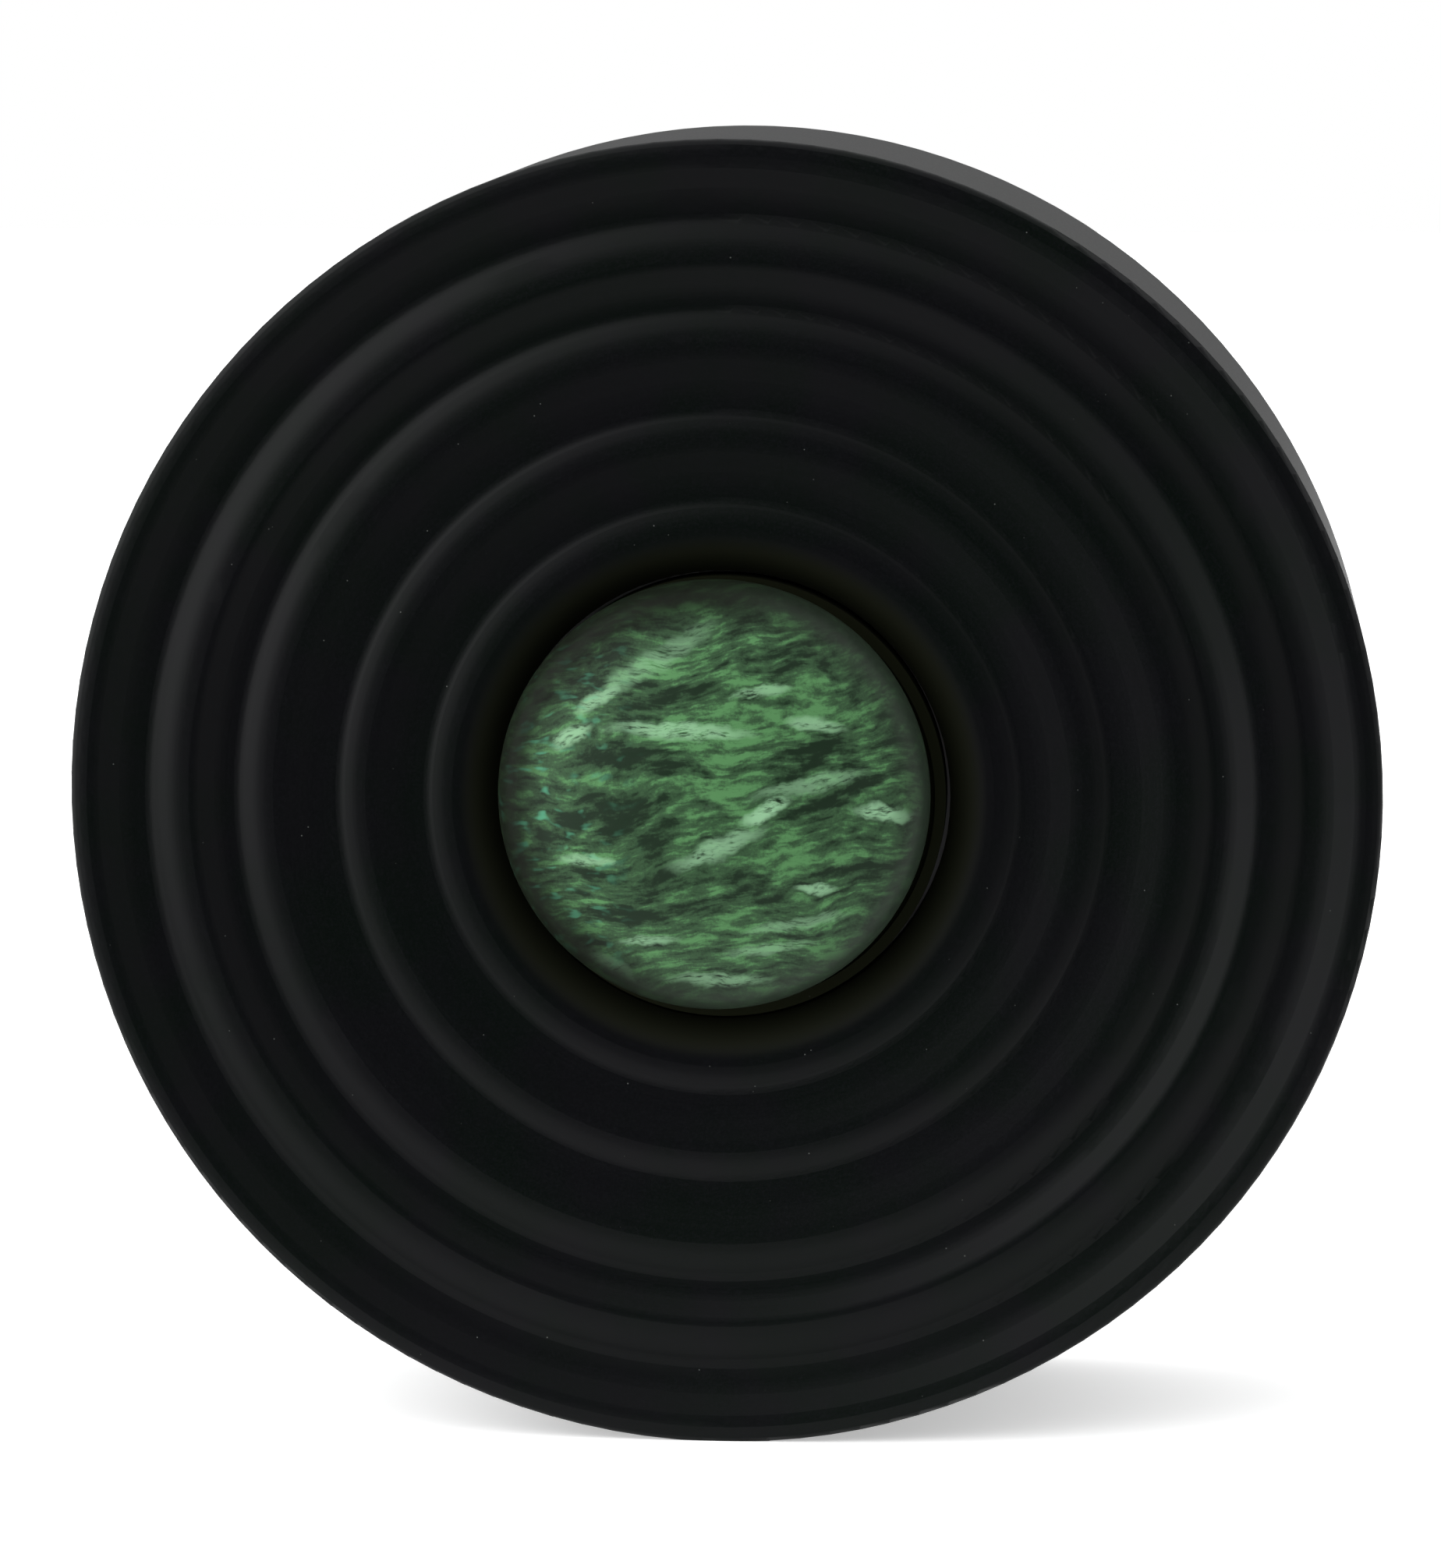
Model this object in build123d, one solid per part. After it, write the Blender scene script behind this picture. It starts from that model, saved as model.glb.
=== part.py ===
from build123d import *
import os
from math import atan2, cos, radians, sin

# A desk inkwell: a turned drum with a rippled face, a glass ink pot inside it, and a
# stopper topped with a domed stone. All sizes are in millimetres.
#
# Each piece is drawn as if the drum lay on its back: the axis is Z, z = 0 is the outer
# face of the leather pad, and the rippled face looks along +Z. stand() then sets the
# piece up on the narrow flat of the drum's rim, with the face towards -Y. The origin is
# the middle of that flat.

# --- Driving dimensions ---------------------------------------------------------------
DIAMETER = 80.0
THICKNESS = 26.0
RADIUS = DIAMETER / 2

# Drum
FLAT_HALF_ANGLE = 4.2        # the flat spans this much of the rim on each side
RIM_EDGE_ROUND = 0.5
BACK_EDGE_ROUND = 0.8
BACK_LIP_SET_BACK = 0.4      # the pad stands this far proud of the drum's back

# Ripples, as fractions of the drum's radius. Outside each crest the face rounds over and
# drops to a tight crease, then sweeps up in a cove to the next crest.
RIPPLE_CRESTS = (0.414, 0.5465, 0.6885, 0.8174)
RIPPLE_CREASES = (0.4595, 0.594, 0.7506, 0.888)
RIM_CREST = 0.974
RIPPLE_STEEPNESSES = (0.22, 0.24, 0.28, 0.31)   # crest-to-crease drop over the distance
FALL_TOP_SHARE = 0.68        # of a fall's width, the part that rounds over from the crest
FALL_FOOT_SHARE = 0.22       # the part that hollows out to the crease
COVE_FOOT_SHARE = 0.45       # of a cove's width, the hollow part from the crease
COVE_TOP_SHARE = 0.2         # the part that rounds over to the next crest
DISH_DEPTH = 0.6             # the innermost crest lies this far below the rim's
RIM_DROP = 0.3               # from the rim's crest to the drum's outer edge

# Mouth, seen from the face inwards
MOUTH_RADIUS = 13.8
MOAT_FLOOR_DROP = 1.7        # from the innermost crest to the edge of the mouth

# Collar
COLLAR_BORE_RADIUS = 10.6
COLLAR_RADIUS = 12.0
COLLAR_FLANGE_TOP = 21.6
COLLAR_FLANGE_THICKNESS = 1.0
COLLAR_FOOT = 14.0
COLLAR_EDGE = 0.4

# Stopper
HEAD_RADIUS = 13.55
HEAD_TOP = 24.4
SEAT_RADIUS = 12.9
SEAT_FLOOR = 23.8
SPIGOT_RADIUS = 10.45
SPIGOT_FOOT = 13.6
SPIGOT_HOLLOW_RADIUS = 7.0
SPIGOT_HOLLOW_TOP = 20.0
SPIGOT_EDGE = 0.8
SEAL_HEIGHT = 17.4
SEAL_SECTION_RADIUS = 0.7
SEAL_CLEARANCE = 0.05        # between the ring and the collar's bore
SEAL_GROOVE_SLACK = 0.15

# Stone
STONE_RADIUS = 13.15
STONE_BASE_RADIUS = 11.3
STONE_SHOULDER_RADIUS = 2.2
STONE_GIRDLE_HEIGHT = 26.5
STONE_TOP = 30.9
STONE_LEFT = 0.45            # the stone is bedded by hand, a little off the drum's axis
STONE_UP = 0.4

# Ink pot
POT_RADIUS = 26.0
POT_FOOT = 5.0
POT_TOP = 17.9
POT_SHOULDER = 15.6
POT_NECK_RADIUS = 15.5
POT_NECK_BORE_RADIUS = 12.5
POT_WALL = 2.0
POT_FLOOR = 2.5
POT_SHOULDER_ROUND = 2.6
POT_FOOT_ROUND = 1.5

# Room for the pot in the drum
CHAMBER_GAP = 0.4
CEILING = 18.6

# Back
COVER_RADIUS = 35.8
COVER_RECESS_RADIUS = 36.0
COVER_OUTER = 1.0
COVER_INNER = 4.0
COVER_EDGE = 0.4
PAD_RADIUS = 35.4
PAD_EDGE = 0.35
CUSHION_RADIUS = 25.0

# Cover screws
SCREW_COUNT = 4
SCREW_CIRCLE_RADIUS = 31.2
SCREW_FIRST_ANGLE = 45.0
SCREW_RADIUS = 1.25
SCREW_HEAD_RADIUS = 2.35
SCREW_HEAD_DEPTH = 1.3
SCREW_LENGTH = 8.0
SCREW_HOLE_GAP = 0.2
SLOT_WIDTH = 0.6
SLOT_DEPTH = 0.6
INSERT_RADIUS = 2.3
INSERT_LENGTH = 5.6

AXIS_HEIGHT = RADIUS * cos(radians(FLAT_HALF_ANGLE))
ON_ITS_FOOT = (Align.CENTER, Align.CENTER, Align.MIN)


def turned(outline):
    """A solid of revolution about Z from a closed outline drawn in (radius, height)."""
    return revolve(make_face(Plane.XZ * outline), axis=Axis.Z, revolution_arc=360)


def ring(inner, outer, low, high):
    """A plain ring, or a disc where inner is 0."""
    disc = Pos(0, 0, low) * Cylinder(outer, high - low, align=ON_ITS_FOOT)
    if inner == 0:
        return disc
    bore = Pos(0, 0, low) * Cylinder(inner, high - low, align=ON_ITS_FOOT)
    return disc - bore


def corner(profile, radius, height):
    """The vertex of a profile at this place."""
    return min(profile.vertices(), key=lambda v: (v.X - radius) ** 2 + (v.Y - height) ** 2)


def crest_height(radius):
    """Crests sink evenly from the rim towards the middle of the face."""
    span = RADIUS * (RIM_CREST - RIPPLE_CRESTS[0])
    return THICKNESS - DISH_DEPTH * (RADIUS * RIM_CREST - radius) / span


def level_to_level(start, end, first_share, last_share):
    """A slope that is level at both ends and bends over these shares of its width."""
    width = end[0] - start[0]
    half_slope = (end[1] - start[1]) / (width * (2 - first_share - last_share))
    first, last = first_share * width, last_share * width
    slope_start = (start[0] + first, start[1] + first * half_slope)
    slope_end = (end[0] - last, end[1] - last * half_slope)
    return [
        TangentArc(start, slope_start, tangent=(1, 0)),
        Line(slope_start, slope_end),
        TangentArc(end, slope_end, tangent=(-1, 0)),
    ]


def face_line():
    """The rippled face, from the edge of the mouth out to the drum's edge."""
    crests = [RADIUS * share for share in (*RIPPLE_CRESTS, RIM_CREST)]
    creases = [RADIUS * share for share in RIPPLE_CREASES]
    crest = (crests[0], crest_height(crests[0]))
    mouth_edge = (MOUTH_RADIUS, crest[1] - MOAT_FLOOR_DROP)
    line = [TangentArc(crest, mouth_edge, tangent=(-1, 0))]
    for crease_radius, next_radius, steepness in zip(creases, crests[1:], RIPPLE_STEEPNESSES):
        crease = (crease_radius, crest[1] - steepness * (crease_radius - crest[0]))
        line += level_to_level(crest, crease, FALL_TOP_SHARE, FALL_FOOT_SHARE)
        crest = (next_radius, crest_height(next_radius))
        line += level_to_level(crease, crest, COVE_FOOT_SHARE, COVE_TOP_SHARE)
    outer_edge = (RADIUS, THICKNESS - RIM_DROP)
    line.append(TangentArc(crest, outer_edge, tangent=(1, 0)))
    return line, mouth_edge, outer_edge


def body_shell():
    face, mouth_edge, outer_edge = face_line()
    inside = (
        (RADIUS, BACK_LIP_SET_BACK),
        (COVER_RECESS_RADIUS, BACK_LIP_SET_BACK),
        (COVER_RECESS_RADIUS, COVER_INNER),
        (POT_RADIUS + CHAMBER_GAP, COVER_INNER),
        (POT_RADIUS + CHAMBER_GAP, POT_SHOULDER + CHAMBER_GAP),
        (POT_NECK_RADIUS + CHAMBER_GAP, POT_SHOULDER + CHAMBER_GAP),
        (POT_NECK_RADIUS + CHAMBER_GAP, CEILING),
        (COLLAR_RADIUS, CEILING),
        (COLLAR_RADIUS, COLLAR_FLANGE_TOP - COLLAR_FLANGE_THICKNESS),
        (MOUTH_RADIUS, COLLAR_FLANGE_TOP - COLLAR_FLANGE_THICKNESS),
        mouth_edge,
    )
    wall = Line(outer_edge, (RADIUS, BACK_LIP_SET_BACK))
    profile = make_face(Curve() + [*face, wall, Polyline(*inside)])
    profile = fillet([corner(profile, *outer_edge)], RIM_EDGE_ROUND)
    profile = fillet([corner(profile, RADIUS, BACK_LIP_SET_BACK)], BACK_EDGE_ROUND)
    drum = revolve(Plane.XZ * profile, axis=Axis.Z, revolution_arc=360)
    below_flat = Box(DIAMETER, DIAMETER, DIAMETER, align=(Align.CENTER, Align.MAX, Align.CENTER))
    drum -= Pos(0, -AXIS_HEIGHT, 0) * below_flat
    for place in screw_places():
        drum -= place * Pos(0, 0, COVER_INNER) * Cylinder(INSERT_RADIUS, INSERT_LENGTH, align=ON_ITS_FOOT)
    return drum


def mouth_collar():
    flange_foot = COLLAR_FLANGE_TOP - COLLAR_FLANGE_THICKNESS
    tube = ring(COLLAR_BORE_RADIUS, COLLAR_RADIUS, COLLAR_FOOT, COLLAR_FLANGE_TOP)
    flange = ring(COLLAR_BORE_RADIUS, MOUTH_RADIUS, flange_foot, COLLAR_FLANGE_TOP)
    collar = tube + flange
    bore_mouth = collar.edges().filter_by(GeomType.CIRCLE).group_by(SortBy.RADIUS)[0].sort_by(Axis.Z)[-1]
    return chamfer(bore_mouth, COLLAR_EDGE)


def pot_gasket():
    return ring(POT_NECK_BORE_RADIUS, POT_NECK_RADIUS, POT_TOP, CEILING)


def ink_pot():
    outer = Polyline(
        (0, POT_FOOT),
        (POT_RADIUS, POT_FOOT),
        (POT_RADIUS, POT_SHOULDER),
        (POT_NECK_RADIUS, POT_SHOULDER),
        (POT_NECK_RADIUS, POT_TOP),
        (POT_NECK_BORE_RADIUS, POT_TOP),
        (POT_NECK_BORE_RADIUS, POT_SHOULDER - POT_WALL),
        (POT_RADIUS - POT_WALL, POT_SHOULDER - POT_WALL),
        (POT_RADIUS - POT_WALL, POT_FOOT + POT_FLOOR),
        (0, POT_FOOT + POT_FLOOR),
        close=True,
    )
    profile = make_face(outer)
    profile = fillet([corner(profile, POT_RADIUS, POT_SHOULDER)], POT_SHOULDER_ROUND)
    profile = fillet([corner(profile, POT_RADIUS, POT_FOOT)], POT_FOOT_ROUND)
    profile = fillet([corner(profile, POT_RADIUS - POT_WALL, POT_SHOULDER - POT_WALL)], POT_FOOT_ROUND)
    profile = fillet([corner(profile, POT_RADIUS - POT_WALL, POT_FOOT + POT_FLOOR)], POT_FOOT_ROUND)
    return revolve(Plane.XZ * profile, axis=Axis.Z, revolution_arc=360)


def pot_cushion():
    return ring(0, CUSHION_RADIUS, COVER_INNER, POT_FOOT)


def screw_places():
    return PolarLocations(SCREW_CIRCLE_RADIUS, SCREW_COUNT, start_angle=SCREW_FIRST_ANGLE)


def screw_head():
    return Cone(SCREW_HEAD_RADIUS, SCREW_RADIUS, SCREW_HEAD_DEPTH, align=ON_ITS_FOOT)


def back_cover():
    cover = ring(0, COVER_RADIUS, COVER_OUTER, COVER_INNER)
    outer_edge = cover.edges().filter_by(GeomType.CIRCLE).sort_by(Axis.Z)[0]
    cover = chamfer(outer_edge, COVER_EDGE)
    hole = ring(0, SCREW_RADIUS + SCREW_HOLE_GAP, COVER_OUTER, COVER_INNER)
    for place in screw_places():
        cover -= place * (hole + Pos(0, 0, COVER_OUTER) * screw_head())
    return cover


def screw():
    shank = Cylinder(SCREW_RADIUS, SCREW_LENGTH, align=ON_ITS_FOOT)
    slot = Box(2 * SCREW_HEAD_RADIUS, SLOT_WIDTH, 2 * SLOT_DEPTH)
    return Pos(0, 0, COVER_OUTER) * (screw_head() + shank - slot)


def cover_screws():
    return Compound([place * screw() for place in screw_places()])


def screw_inserts():
    insert = ring(SCREW_RADIUS, INSERT_RADIUS, COVER_INNER, COVER_INNER + INSERT_LENGTH)
    return Compound([place * insert for place in screw_places()])


def back_pad():
    pad = ring(0, PAD_RADIUS, 0, COVER_OUTER)
    return fillet(pad.edges().filter_by(GeomType.CIRCLE).sort_by(Axis.Z)[0], PAD_EDGE)


def seal_centre_radius():
    return COLLAR_BORE_RADIUS - SEAL_CLEARANCE - SEAL_SECTION_RADIUS


def stopper_plug():
    groove_floor = seal_centre_radius() - SEAL_SECTION_RADIUS
    groove_half_width = SEAL_SECTION_RADIUS + SEAL_GROOVE_SLACK
    outline = Polyline(
        (0, SEAT_FLOOR),
        (SEAT_RADIUS, SEAT_FLOOR),
        (SEAT_RADIUS, HEAD_TOP),
        (HEAD_RADIUS, HEAD_TOP),
        (HEAD_RADIUS, COLLAR_FLANGE_TOP),
        (SPIGOT_RADIUS, COLLAR_FLANGE_TOP),
        (SPIGOT_RADIUS, SEAL_HEIGHT + groove_half_width),
        (groove_floor, SEAL_HEIGHT + groove_half_width),
        (groove_floor, SEAL_HEIGHT - groove_half_width),
        (SPIGOT_RADIUS, SEAL_HEIGHT - groove_half_width),
        (SPIGOT_RADIUS, SPIGOT_FOOT + SPIGOT_EDGE),
        (SPIGOT_RADIUS - SPIGOT_EDGE, SPIGOT_FOOT),
        (SPIGOT_HOLLOW_RADIUS, SPIGOT_FOOT),
        (SPIGOT_HOLLOW_RADIUS, SPIGOT_HOLLOW_TOP),
        (0, SPIGOT_HOLLOW_TOP),
        close=True,
    )
    return turned(outline)


def stopper_ring():
    return Pos(0, 0, SEAL_HEIGHT) * Torus(seal_centre_radius(), SEAL_SECTION_RADIUS)


def stone_cabochon():
    """A dome with a rounded shoulder, on a flank that tapers in to the base as a grip."""
    rise = STONE_TOP - STONE_GIRDLE_HEIGHT
    reach = STONE_RADIUS - STONE_SHOULDER_RADIUS
    crown_radius = (reach**2 + rise**2 - STONE_SHOULDER_RADIUS**2) / (2 * (rise - STONE_SHOULDER_RADIUS))
    turn = atan2(reach, crown_radius - rise)
    top = (0, STONE_TOP)
    shoulder_start = (crown_radius * sin(turn), STONE_TOP - crown_radius * (1 - cos(turn)))
    girdle = (STONE_RADIUS, STONE_GIRDLE_HEIGHT)
    base = (STONE_BASE_RADIUS, SEAT_FLOOR)
    outline = [
        TangentArc(top, shoulder_start, tangent=(1, 0)),
        TangentArc(shoulder_start, girdle, tangent=(cos(turn), -sin(turn))),
        TangentArc(girdle, base, tangent=(0, -1)),
        Polyline(base, (0, SEAT_FLOOR), top),
    ]
    return Pos(-STONE_LEFT, STONE_UP, 0) * turned(Curve() + outline)


def stand(piece):
    """Sets a piece up on the drum's rim: its axis goes to -Y, and its flat to z = 0."""
    return Pos(0, THICKNESS / 2, AXIS_HEIGHT) * Rot(90, 0, 0) * piece


PIECES = (
    body_shell,
    mouth_collar,
    pot_gasket,
    ink_pot,
    pot_cushion,
    back_cover,
    screw_inserts,
    cover_screws,
    back_pad,
    stopper_plug,
    stopper_ring,
    stone_cabochon,
)

os.makedirs("parts", exist_ok=True)
for piece in PIECES:
    export_step(stand(piece()), f"parts/{piece.__name__}.step")
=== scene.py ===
import bpy
from math import cos, radians, sin
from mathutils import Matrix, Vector


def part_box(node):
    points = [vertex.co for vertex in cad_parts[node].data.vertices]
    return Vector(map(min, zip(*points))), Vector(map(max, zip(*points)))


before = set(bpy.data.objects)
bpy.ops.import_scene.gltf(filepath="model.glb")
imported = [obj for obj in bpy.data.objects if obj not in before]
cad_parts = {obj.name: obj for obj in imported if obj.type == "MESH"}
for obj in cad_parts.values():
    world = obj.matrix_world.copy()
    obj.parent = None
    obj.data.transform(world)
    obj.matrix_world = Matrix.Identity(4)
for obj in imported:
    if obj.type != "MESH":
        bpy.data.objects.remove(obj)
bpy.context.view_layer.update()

# The drum stands on its rim with its face towards -Y. Every place is worked out from it.
drum_low, drum_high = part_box("body_shell")
RADIUS = (drum_high.x - drum_low.x) / 2
AXIS_HEIGHT = drum_high.z - RADIUS
FACE_CENTRE = Vector((0, drum_low.y, AXIS_HEIGHT))
MM = 0.001

# --- Camera ---------------------------------------------------------------------------
CAMERA_AZIMUTH = 4.05
CAMERA_ELEVATION = 7.85
CAMERA_DISTANCE = 9.8 * RADIUS
CAMERA_LENS = 148.15
CAMERA_SENSOR = 36.0
CAMERA_CLIP = 0.01
AIM_SIDE = -0.08 * MM
AIM_RISE = 1.0 * MM

# --- Light ----------------------------------------------------------------------------
BACKDROP_WHITE = (1.0, 1.0, 1.0)
SIDE_GLOW = 1.0              # the white room all around
TOP_GLOW = 1.45
TOP_START, TOP_FULL = 0.1, 0.8      # upward part of the direction
BACK_GLOW = 0.5              # the wall behind the drum, as its rim sees it
BACK_START, BACK_FULL = 0.2, 0.8    # backward part of the direction
KEY_GLOW = 3.0               # a brighter patch of wall to the left
KEY_FROM = (-0.83, -0.42, 0.36)
KEY_EDGE = 0.60              # cosine where the bright patch starts
FRONT_GLOW = 0.01            # the camera side is dark
FRONT_EDGE = 0.955           # cosine inside which it is darkest
FRONT_FADE = 0.36
TABLE_GLOW = 0.50            # the pale table top out in front, seen low down
TABLE_LOW = -0.55            # upward part of the direction where it is brightest
TABLE_HIGH = -0.12           # and where it ends
FLOOR_REACH = 1.5
FLOOR_FRONT = 0.05           # the sheet ends here, so the face looks out over it into the dark
FLOOR_LIFT = 0.42            # the floor is a lit white sheet, which thins the shadow

# --- Colours, in linear red, green and blue -------------------------------------------
WHITE = (1.0, 1.0, 1.0, 1.0)
PAPER_SHADE = (0.90, 0.90, 0.90)
PAPER_WHITE = (0.93, 0.93, 0.93)
SHELL_DARK = (0.0006, 0.0020, 0.0013)
SHELL_LIGHT = (0.0016, 0.0018, 0.0024)
SHELL_GRIT = tuple(1.9 * c for c in SHELL_LIGHT)
SHELL_DUST = (0.07, 0.075, 0.07)
# painted reflection of the green stone in the black moat around it
MOAT_PAINTED_REFLECTION = (0.0060, 0.0070, 0.0028)
COLLAR_STEEL = (0.60, 0.60, 0.61)
SCREW_STEEL = (0.48, 0.48, 0.50)
INSERT_BRASS = (0.74, 0.55, 0.27)
STAIN_SHARE = 0.8            # stained metal keeps this much of its colour
RUBBER_BLACK = (0.010, 0.010, 0.011)
RUBBER_BLOOM = (0.028, 0.028, 0.028)
GLASS_GREEN = (0.86, 0.92, 0.90)
GLASS_PALE = (0.93, 0.96, 0.95)
CORK_DARK = (0.30, 0.17, 0.08)
CORK_PALE = (0.56, 0.38, 0.20)
CORK_SEAM = (0.12, 0.06, 0.03)
LEATHER_DARK = (0.020, 0.016, 0.013)
LEATHER_WORN = (0.052, 0.043, 0.036)
LEATHER_CREASE = (0.008, 0.008, 0.008)
STONE_DEEP = (0.0100, 0.0230, 0.0115)
STONE_GREEN = (0.0340, 0.0790, 0.0360)
STONE_BRIGHT = (0.085, 0.225, 0.085)
STONE_SILK = (0.27, 0.50, 0.29)
# painted teal glints, on the stone's left side only
STONE_PAINTED_GLINT = (0.09, 0.36, 0.21)
# The stone's edge colour: partly its own duller green, partly painted shade, with darker painted
# shade on its left side
STONE_EDGE_DULL_AND_SHADE = (0.0190, 0.0280, 0.0190)
STONE_EDGE_PAINTED_SHADE = (0.0062, 0.0072, 0.0052)

# --- Surfaces -------------------------------------------------------------------------
MOAT_EDGE, MOAT_END = 15.0, 16.2    # mm from the axis: the moat gets a painted olive reflection of the green stone and is duller
MOAT_DULL = 0.3
FIBRE_RISE = 8.0                    # degrees that the stone's fibres climb to the right
FEATHER_END = 1.6                   # squared reach at which a mark has faded out
RIM_START, RIM_FULL = 0.78, 1.0     # of the stone's radius, where its darker edge sets in: partly its own duller edge, partly painted shade
RIM_SHARE = 0.95
PAINTED_SHADE_SOONER = 0.06                    # the painted shade sets in this much sooner on the stone's left side
STONE_SHINE = 0.12
PAINTED_SHADE_SHINE_LOSS = 0.09             # shine taken off where the stone's left edge is painted shade


def aim(thing, target):
    direction = Vector(target) - thing.location
    thing.rotation_euler = direction.to_track_quat("-Z", "Y").to_euler()


def add_camera():
    azimuth, elevation = radians(CAMERA_AZIMUTH), radians(CAMERA_ELEVATION)
    ray = Vector((sin(azimuth) * cos(elevation), -cos(azimuth) * cos(elevation), sin(elevation)))
    camera = bpy.data.objects.new("camera", bpy.data.cameras.new("camera"))
    bpy.context.scene.collection.objects.link(camera)
    camera.data.lens = CAMERA_LENS
    camera.data.sensor_width = CAMERA_SENSOR
    camera.data.clip_start = CAMERA_CLIP
    camera.location = FACE_CENTRE + ray * CAMERA_DISTANCE
    aim(camera, FACE_CENTRE + Vector((AIM_SIDE, 0, AIM_RISE)))
    bpy.context.scene.camera = camera


# --- Node graphs ----------------------------------------------------------------------
class Graph:
    """Short calls for building a material's nodes. A socket or a number fits anywhere."""

    def __init__(self, tree):
        self.tree = tree

    def node(self, kind, **settings):
        made = self.tree.nodes.new(kind)
        for key, value in settings.items():
            setattr(made, key, value)
        return made

    def feed(self, socket, value):
        if isinstance(value, bpy.types.NodeSocket):
            self.tree.links.new(value, socket)
        elif value is not None:
            socket.default_value = value

    def math(self, operation, a, b=None, c=None):
        made = self.node("ShaderNodeMath", operation=operation)
        for socket, value in zip(made.inputs, (a, b, c)):
            self.feed(socket, value)
        return made.outputs[0]

    def onto(self, base, layer, weight):
        """The base plus this weight of a layer."""
        return self.math("MULTIPLY_ADD", layer, weight, base)

    def centred(self, layer):
        """A noise moved so that it swings about zero."""
        return self.math("SUBTRACT", layer, 0.5)

    def vector(self, operation, a, b=None):
        made = self.node("ShaderNodeVectorMath", operation=operation)
        self.feed(made.inputs[0], a)
        self.feed(made.inputs[1], b)
        gives_number = operation in ("LENGTH", "DOT_PRODUCT")
        return made.outputs["Value" if gives_number else "Vector"]

    def scaled(self, vector, scale):
        made = self.node("ShaderNodeVectorMath", operation="SCALE")
        self.feed(made.inputs[0], vector)
        made.inputs["Scale"].default_value = scale
        return made.outputs["Vector"]

    def pushed(self, place, push, reach):
        """A place moved by this reach of a push."""
        return self.vector("ADD", place, self.scaled(push, reach))

    def combine(self, x, y, z):
        made = self.node("ShaderNodeCombineXYZ")
        for socket, value in zip(made.inputs, (x, y, z)):
            self.feed(socket, value)
        return made.outputs[0]

    def split(self, vector):
        made = self.node("ShaderNodeSeparateXYZ")
        self.feed(made.inputs[0], vector)
        return made.outputs

    def noise(self, vector, scale, detail=2.0, roughness=0.5, output="Fac"):
        made = self.node("ShaderNodeTexNoise")
        self.feed(made.inputs["Vector"], vector)
        self.feed(made.inputs["Scale"], scale)
        self.feed(made.inputs["Detail"], detail)
        self.feed(made.inputs["Roughness"], roughness)
        return made.outputs[output]

    def drift(self, vector, scale, detail):
        """A smooth random push, even about zero in every direction."""
        colour = self.noise(vector, scale, detail, output="Color")
        return self.vector("SUBTRACT", colour, (0.5, 0.5, 0.5))

    def voronoi(self, vector, scale, feature="F1", output="Distance"):
        made = self.node("ShaderNodeTexVoronoi", feature=feature)
        self.feed(made.inputs["Vector"], vector)
        self.feed(made.inputs["Scale"], scale)
        return made.outputs[output]

    def step(self, value, low, high, to_low=0.0, to_high=1.0):
        """A smooth step: to_low below low, to_high above high."""
        made = self.node("ShaderNodeMapRange", interpolation_type="SMOOTHSTEP")
        for socket, number in zip(made.inputs, (value, low, high, to_low, to_high)):
            self.feed(socket, number)
        return made.outputs[0]

    def fade(self, value, low, high):
        """A smooth step down, from one to nothing."""
        return self.step(value, low, high, to_low=1.0, to_high=0.0)

    def mix(self, share, a, b):
        made = self.node("ShaderNodeMix", data_type="RGBA")
        self.feed(made.inputs["Factor"], share)
        self.feed(made.inputs["A"], rgba(a))
        self.feed(made.inputs["B"], rgba(b))
        return made.outputs["Result"]

    def bump(self, height, strength, distance, normal=None):
        made = self.node("ShaderNodeBump")
        made.inputs["Strength"].default_value = strength
        made.inputs["Distance"].default_value = distance
        self.feed(made.inputs["Height"], height)
        self.feed(made.inputs["Normal"], normal)
        return made.outputs[0]

    def millimetres(self, centre):
        """Place on the piece, in millimetres from this point."""
        place = self.node("ShaderNodeTexCoord").outputs["Object"]
        return self.scaled(self.vector("SUBTRACT", place, tuple(centre)), 1 / MM)

    def from_axis(self):
        """Place from the face's centre in millimetres, distance from the axis, and depth."""
        place = self.millimetres(FACE_CENTRE)
        x, depth, z = self.split(place)
        return place, self.vector("LENGTH", self.combine(x, 0.0, z)), depth


def rgba(colour):
    """A colour given as three numbers gets its alpha; a socket passes through."""
    if isinstance(colour, tuple) and len(colour) == 3:
        return (*colour, 1.0)
    return colour


def new_material(name, **settings):
    """A material with a principled shader. A setting's underscores stand for spaces."""
    material = bpy.data.materials.new(name)
    material.use_nodes = True
    shader = material.node_tree.nodes["Principled BSDF"]
    for key, value in settings.items():
        shader.inputs[key.replace("_", " ")].default_value = value
    return material, Graph(material.node_tree), shader


def dress(node, material):
    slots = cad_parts[node].data.materials
    slots.clear()
    slots.append(material)


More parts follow.
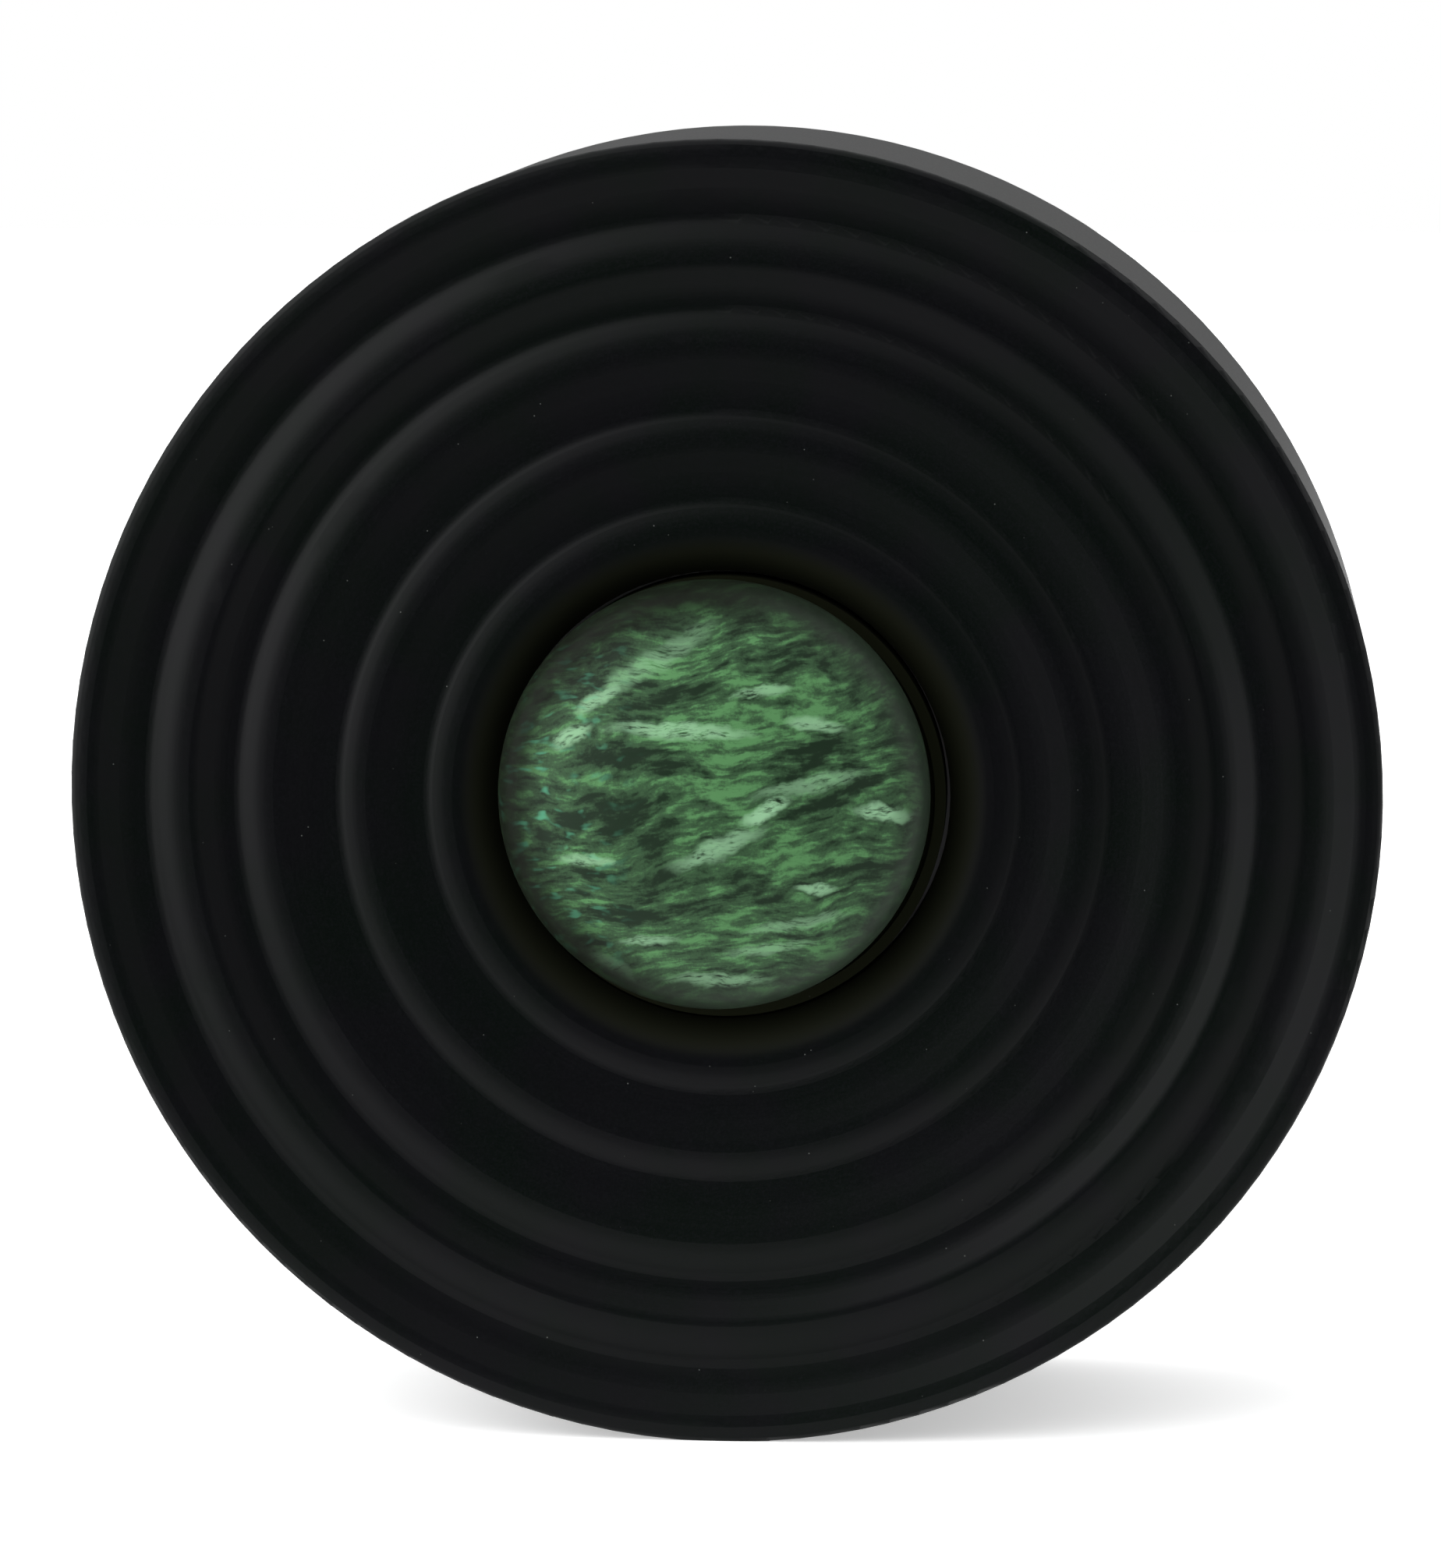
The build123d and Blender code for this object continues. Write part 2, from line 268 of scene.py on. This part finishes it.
# --- Materials. Noise scales are per millimetre ---------------------------------------
def turned_black(name, roughness, specular):
    """Satin black hard rubber off a lathe: cloudy tint, pale dust specks, fine rings."""
    material, g, shader = new_material(name, Specular_IOR_Level=specular)
    place, radial, depth = g.from_axis()
    moat_reflection_and_dull = g.fade(radial, MOAT_EDGE, MOAT_END)
    cloud = g.noise(place, scale=0.09, detail=3.0, roughness=0.6)
    grit = g.noise(place, scale=7.0, detail=2.0, roughness=0.7)
    tint = g.mix(g.step(cloud, low=0.38, high=0.62), SHELL_DARK, SHELL_LIGHT)
    tint = g.mix(g.step(grit, low=0.45, high=0.72, to_high=0.5), tint, SHELL_GRIT)
    # Painted olive reflection of the green stone in the moat around it
    tint = g.mix(moat_reflection_and_dull, tint, MOAT_PAINTED_REFLECTION)
    speck = g.fade(g.voronoi(place, scale=1.1), low=0.035, high=0.06)
    rare = g.step(g.noise(place, scale=0.6, detail=1.0), low=0.60, high=0.66)
    tint = g.mix(g.math("MULTIPLY", speck, rare), tint, SHELL_DUST)
    g.feed(shader.inputs["Base Color"], tint)
    lathe = g.combine(radial, g.math("MULTIPLY", depth, 0.6), 0.0)
    tooling = g.noise(lathe, scale=6.5, detail=2.0, roughness=0.6)
    rough = g.onto(roughness, moat_reflection_and_dull, weight=MOAT_DULL)
    rough = g.onto(rough, g.centred(grit), weight=0.16)
    g.feed(shader.inputs["Roughness"], g.onto(rough, tooling, weight=0.08))
    rings = g.bump(tooling, strength=0.15, distance=0.02 * MM)
    bumpy = g.bump(grit, strength=0.15, distance=0.015 * MM, normal=rings)
    g.feed(shader.inputs["Normal"], bumpy)
    return material


def brushed_metal(name, colour, roughness):
    material, g, shader = new_material(name, Metallic=1.0)
    place, radial, depth = g.from_axis()
    lines = g.noise(g.combine(radial, depth, 0.0), scale=9.0, detail=3.0, roughness=0.6)
    stain = g.noise(place, scale=0.5, detail=3.0)
    stained = tuple(STAIN_SHARE * c for c in colour)
    g.feed(shader.inputs["Base Color"], g.mix(stain, stained, colour))
    g.feed(shader.inputs["Roughness"], g.onto(roughness, lines, weight=0.2))
    g.feed(shader.inputs["Normal"], g.bump(lines, strength=0.3, distance=0.01 * MM))
    return material


def soft_rubber(name):
    material, g, shader = new_material(name)
    place = g.millimetres(FACE_CENTRE)
    bloom = g.noise(place, scale=0.8, detail=4.0, roughness=0.6)
    grain = g.noise(place, scale=14.0)
    g.feed(shader.inputs["Base Color"], g.mix(bloom, RUBBER_BLACK, RUBBER_BLOOM))
    g.feed(shader.inputs["Roughness"], g.onto(0.42, bloom, weight=0.25))
    g.feed(shader.inputs["Normal"], g.bump(grain, strength=0.3, distance=0.01 * MM))
    return material


def clear_glass(name):
    material, g, shader = new_material(name, IOR=1.5, Transmission_Weight=1.0)
    ripple = g.noise(g.millimetres(FACE_CENTRE), scale=0.25, detail=2.0)
    g.feed(shader.inputs["Base Color"], g.mix(ripple, GLASS_GREEN, GLASS_PALE))
    g.feed(shader.inputs["Roughness"], g.onto(0.01, ripple, weight=0.05))
    g.feed(shader.inputs["Normal"], g.bump(ripple, strength=0.25, distance=0.2 * MM))
    return material


def cork(name):
    material, g, shader = new_material(name, Roughness=0.85)
    place = g.millimetres(FACE_CENTRE)
    cell = g.voronoi(place, scale=0.9, output="Color")
    edge = g.voronoi(place, scale=0.9, feature="DISTANCE_TO_EDGE")
    tint = g.mix(g.split(cell)[0], CORK_DARK, CORK_PALE)
    seam = g.fade(edge, low=0.0, high=0.12)
    g.feed(shader.inputs["Base Color"], g.mix(seam, tint, CORK_SEAM))
    g.feed(shader.inputs["Normal"], g.bump(edge, strength=0.5, distance=0.1 * MM))
    return material


def leather(name):
    """Fine black leather: rounded pebbles between creases, with broad worn blotches."""
    material, g, shader = new_material(name)
    place = g.millimetres(FACE_CENTRE)
    bent = g.pushed(place, g.noise(place, scale=0.5, output="Color"), reach=0.8)
    pebble = g.step(g.voronoi(bent, scale=1.3, feature="DISTANCE_TO_EDGE"), low=0.0, high=0.16)
    blotch = g.noise(place, scale=0.08, detail=3.0, roughness=0.6)
    tint = g.mix(blotch, LEATHER_DARK, LEATHER_WORN)
    g.feed(shader.inputs["Base Color"], g.mix(pebble, LEATHER_CREASE, tint))
    g.feed(shader.inputs["Roughness"], g.onto(0.72, pebble, weight=-0.18))
    pores = g.bump(g.noise(place, scale=9.0, detail=3.0), strength=0.25, distance=0.03 * MM)
    bumpy = g.bump(pebble, strength=0.6, distance=0.12 * MM, normal=pores)
    g.feed(shader.inputs["Normal"], bumpy)
    return material


# The stone's marks, listed one by one: across and up from its middle in millimetres, turn in
# degrees, half length, half width, strength. Silk marks are pale fibre bundles, leaf marks
# are bright green patches, and shade marks are the deep gaps between them.
SILK_MARKS = (
    (-1.7, 4.4, -2.0, 4.2, 0.50, 0.75),
    (6.4, 4.8, -10.0, 1.8, 0.42, 0.70),
    (3.1, 6.8, 8.0, 1.8, 0.36, 0.60),
    (-3.5, 8.4, 32.0, 4.2, 0.70, 0.35),
    (-6.7, 6.2, 35.0, 1.6, 0.50, 0.70),
    (-8.4, 3.9, 30.0, 1.4, 0.50, 0.80),
    (3.4, -0.4, 28.0, 1.6, 0.42, 1.00),
    (0.5, -2.7, 25.0, 3.0, 0.60, 0.65),
    (6.0, 1.2, 12.0, 3.3, 0.50, 0.45),
    (10.5, -0.7, -8.0, 1.8, 0.50, 0.95),
    (6.4, -5.3, 0.0, 1.2, 0.32, 0.80),
    (5.3, -7.4, 10.0, 3.0, 0.36, 0.40),
    (3.6, -8.9, 8.0, 2.7, 0.36, 0.40),
    (-3.7, -8.5, 5.0, 1.8, 0.28, 0.60),
    (0.4, -11.0, 0.0, 3.0, 0.45, 0.65),
    (-6.0, -10.2, -35.0, 1.5, 0.50, 0.45),
    (-7.4, -3.6, 0.0, 1.9, 0.36, 0.65),
)
LEAF_MARKS = (
    (1.6, 4.4, 4.0, 5.6, 1.8, 0.9),
    (3.6, -3.4, 14.0, 3.6, 1.8, 0.8),
    (2.6, 7.6, 4.0, 2.4, 0.8, 0.7),
    (-3.3, 1.2, 0.0, 4.2, 0.5, 0.6),
    (1.2, -0.6, 6.0, 2.4, 0.7, 0.6),
    (3.0, -8.0, 8.0, 5.4, 1.6, 0.6),
)
SHADE_MARKS = (
    (8.2, 0.7, 24.0, 3.8, 0.50, 1.0),
    (6.2, 2.9, 20.0, 3.6, 0.80, 0.7),
    (-4.6, 2.8, -4.0, 4.0, 0.80, 0.9),
    (-5.3, -1.3, 0.0, 3.8, 1.60, 0.8),
    (-1.2, -4.6, 10.0, 4.4, 0.80, 0.6),
    (-4.4, -6.8, 4.0, 5.0, 0.70, 0.6),
    (-1.5, 6.6, 12.0, 3.6, 0.50, 0.5),
    (-6.0, 8.0, 40.0, 3.4, 0.60, 0.5),
    (8.6, -4.6, 10.0, 3.0, 0.80, 0.5),
)


def feather(g, x, z, mark):
    """One spindle-shaped mark: full strength along its middle, fading to its ends."""
    at_x, at_z, turn, half_length, half_width, strength = mark
    dx, dz = g.math("SUBTRACT", x, at_x), g.math("SUBTRACT", z, at_z)
    c, s = cos(radians(turn)), sin(radians(turn))
    along = g.onto(g.math("MULTIPLY", dz, s / half_length), dx, weight=c / half_length)
    across = g.onto(g.math("MULTIPLY", dx, -s / half_width), dz, weight=c / half_width)
    reach = g.onto(g.math("MULTIPLY", across, across), along, weight=along)
    return g.step(reach, 0.0, FEATHER_END, to_low=strength, to_high=0.0)


def gather(g, x, z, marks):
    total = 0.0
    for mark in marks:
        total = g.math("MAXIMUM", feather(g, x, z, mark), total)
    return total


def silky_stone(name, centre, radius):
    """Deep green stone with silky, feathered fibres that run across and rise to the right."""
    material, g, shader = new_material(name, IOR=1.56)
    place = g.millimetres(centre)
    sway = g.drift(place, scale=0.15, detail=1.0)
    ruffle = g.drift(place, scale=0.7, detail=3.0)
    turned = g.node("ShaderNodeVectorRotate", rotation_type="Y_AXIS")
    bent = g.pushed(g.pushed(place, sway, reach=3.0), ruffle, reach=0.5)
    g.feed(turned.inputs["Vector"], bent)
    turned.inputs["Angle"].default_value = radians(FIBRE_RISE)
    run, deep, rise = g.split(turned.outputs[0])

    def fibres(along, across, detail=2.0):
        """Noise drawn out along the fibres, with these scales along and across them."""
        shrunk_run, shrunk_rise = g.math("MULTIPLY", run, along), g.math("MULTIPLY", rise, across)
        stretched = g.combine(shrunk_run, deep, shrunk_rise)
        return g.noise(stretched, scale=1.0, detail=detail, roughness=0.6)

    broad = fibres(along=0.18, across=0.45)
    tuft = fibres(along=0.36, across=1.3)
    strand = fibres(along=0.6, across=2.6)
    hair = fibres(along=2.2, across=8.5)
    grain = g.noise(place, scale=6.0, detail=2.0, roughness=0.7)
    x, _, z = g.split(g.pushed(place, ruffle, reach=1.1))
    silk, leaf, shade = (gather(g, x, z, marks) for marks in (SILK_MARKS, LEAF_MARKS, SHADE_MARKS))

    tone = broad
    for layer, weight in ((tuft, 1.3), (strand, 1.15), (hair, 0.28), (grain, 0.40)):
        tone = g.onto(tone, g.centred(layer), weight)
    for layer, weight in ((leaf, 0.24), (shade, -0.42)):
        tone = g.onto(tone, layer, weight)
    tint = g.mix(g.step(tone, low=0.15, high=0.55), STONE_DEEP, STONE_GREEN)
    tint = g.mix(g.step(tone, low=0.50, high=0.90), tint, STONE_BRIGHT)
    threads = g.step(g.math("ADD", strand, hair), low=0.64, high=1.04)
    tint = g.mix(g.math("MULTIPLY", silk, threads), tint, STONE_SILK)
    # Painted teal glints, only on the stone's left side
    glint_side = g.fade(g.math("DIVIDE", x, radius), low=-0.95, high=-0.25)
    painted_glints = g.step(fibres(along=0.8, across=2.0, detail=1.0), low=0.56, high=0.76)
    tint = g.mix(g.math("MULTIPLY", painted_glints, glint_side), tint, STONE_PAINTED_GLINT)

    # The stone darkens towards its edge: partly its own duller edge, partly painted shade. On its
    # left side the painted shade is darker, sets in sooner and takes the shine off.
    reach = g.math("DIVIDE", g.vector("LENGTH", g.combine(x, 0.0, z)), radius)
    toward_painted_shade = g.onto(g.math("MULTIPLY", z, 0.25 / radius), x, weight=-0.9 / radius)
    painted_shade_side = g.step(toward_painted_shade, low=-0.6, high=0.4)
    edge_dull_and_shade = g.mix(painted_shade_side, STONE_EDGE_DULL_AND_SHADE, STONE_EDGE_PAINTED_SHADE)
    rim = g.step(g.onto(reach, painted_shade_side, weight=PAINTED_SHADE_SOONER), RIM_START, RIM_FULL)
    tint = g.mix(g.math("MULTIPLY", rim, RIM_SHARE), tint, edge_dull_and_shade)
    painted_shade_rim = g.math("MULTIPLY", rim, painted_shade_side)
    shine = g.onto(STONE_SHINE, painted_shade_rim, weight=-PAINTED_SHADE_SHINE_LOSS)
    g.feed(shader.inputs["Specular IOR Level"], shine)
    g.feed(shader.inputs["Base Color"], tint)
    g.feed(shader.inputs["Roughness"], g.onto(0.26, strand, weight=0.30))
    bumpy = g.bump(g.math("ADD", strand, grain), strength=0.25, distance=0.03 * MM)
    g.feed(shader.inputs["Normal"], bumpy)
    return material


# --- Set ------------------------------------------------------------------------------
def add_floor():
    corners = [
        (-FLOOR_REACH, -FLOOR_FRONT, 0),
        (FLOOR_REACH, -FLOOR_FRONT, 0),
        (FLOOR_REACH, FLOOR_REACH, 0),
        (-FLOOR_REACH, FLOOR_REACH, 0),
    ]
    mesh = bpy.data.meshes.new("floor")
    mesh.from_pydata(corners, [], [(0, 1, 2, 3)])
    floor = bpy.data.objects.new("floor", mesh)
    bpy.context.scene.collection.objects.link(floor)
    material, g, shader = new_material(
        "studio_paper",
        Roughness=0.9,
        Specular_IOR_Level=0.0,
        Emission_Color=WHITE,
        Emission_Strength=FLOOR_LIFT,
    )
    fibre = g.noise(g.millimetres((0, 0, 0)), scale=0.4, detail=3.0)
    g.feed(shader.inputs["Base Color"], g.mix(fibre, PAPER_SHADE, PAPER_WHITE))
    mesh.materials.append(material)


def add_world():
    """A white backdrop to the camera. Everything else sees white walls and a dim front."""
    world = bpy.data.worlds.new("studio")
    bpy.context.scene.world = world
    world.use_nodes = True
    g = Graph(world.node_tree)
    way = g.node("ShaderNodeTexCoord").outputs["Generated"]
    _, backward, upward = g.split(way)
    walls = g.step(upward, TOP_START, TOP_FULL, SIDE_GLOW, TOP_GLOW)
    walls = g.math("MULTIPLY", walls, g.step(backward, BACK_START, BACK_FULL, 1.0, BACK_GLOW))
    toward_key = g.vector("DOT_PRODUCT", way, tuple(Vector(KEY_FROM).normalized()))
    walls = g.math("ADD", walls, g.step(toward_key, KEY_EDGE, 1.0, 0.0, KEY_GLOW))
    frontness = g.vector("DOT_PRODUCT", way, (0.0, -1.0, 0.0))
    front = g.step(frontness, FRONT_EDGE - FRONT_FADE, FRONT_EDGE)
    table = g.step(upward, TABLE_LOW, TABLE_HIGH, TABLE_GLOW, FRONT_GLOW)
    glow = g.mix(front, g.combine(walls, walls, walls), g.combine(table, table, table))
    seen = g.node("ShaderNodeLightPath").outputs["Is Camera Ray"]
    background = world.node_tree.nodes["Background"]
    g.feed(background.inputs["Color"], g.mix(seen, glow, BACKDROP_WHITE))


def dress_object():
    stone_low, stone_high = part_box("stone_cabochon")
    stone_radius = (stone_high.x - stone_low.x) / 2 / MM
    stone_centre = (stone_low + stone_high) / 2
    dress("body_shell", turned_black("shell", roughness=0.38, specular=0.10))
    dress("stopper_plug", turned_black("plug", roughness=0.50, specular=0.05))
    dress("back_cover", turned_black("cover", roughness=0.42, specular=0.08))
    dress("mouth_collar", brushed_metal("collar", COLLAR_STEEL, roughness=0.22))
    dress("cover_screws", brushed_metal("screws", SCREW_STEEL, roughness=0.30))
    dress("screw_inserts", brushed_metal("inserts", INSERT_BRASS, roughness=0.25))
    dress("pot_gasket", soft_rubber("gasket"))
    dress("stopper_ring", soft_rubber("seal"))
    dress("ink_pot", clear_glass("pot"))
    dress("pot_cushion", cork("cushion"))
    dress("back_pad", leather("pad"))
    dress("stone_cabochon", silky_stone("stone", stone_centre, stone_radius))


bpy.context.scene.view_settings.view_transform = "Standard"
add_camera()
add_world()
add_floor()
dress_object()
